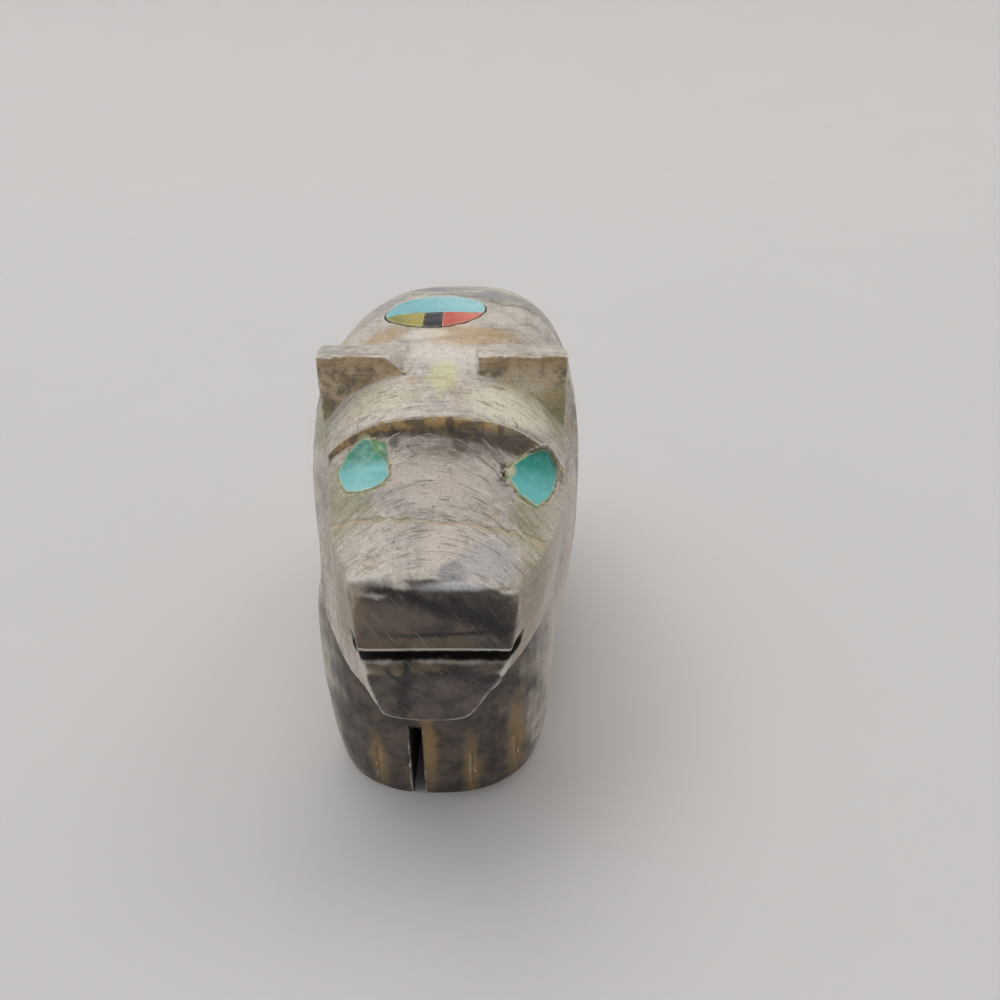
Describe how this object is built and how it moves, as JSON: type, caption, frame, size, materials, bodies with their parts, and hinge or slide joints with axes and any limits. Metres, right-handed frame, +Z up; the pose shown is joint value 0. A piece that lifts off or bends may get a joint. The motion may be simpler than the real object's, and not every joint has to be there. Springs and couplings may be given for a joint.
{
  "type": "carved stone bear fetish",
  "caption": "Small bear carved from veined stone, standing on its feet, with turquoise eyes and a round stone inlay on its back.",
  "frame": {"origin": "middle of the carving's footprint, on the surface that its feet stand on", "axes": "+Z up, the bear faces -Y, +X is the side of the right eye inlay, which is on the right for someone who looks at the face"},
  "size_m": [0.0284, 0.068, 0.0448],
  "materials": {
    "veined_stone": "ground and polished marble, cream and grey with dark veins and ochre patches",
    "turquoise": "polished turquoise",
    "jet": "polished black jet",
    "green_stone": "polished olive-gold stone",
    "coral": "polished coral"
  },
  "bodies": {
    "root": {"stone_bear": "veined_stone", "left_eye_inlay": "turquoise", "right_eye_inlay": "turquoise", "back_inlay_turquoise": "turquoise", "back_inlay_jet": "jet", "back_inlay_green": "green_stone", "back_inlay_coral": "coral"}
  },
  "joints": []
}
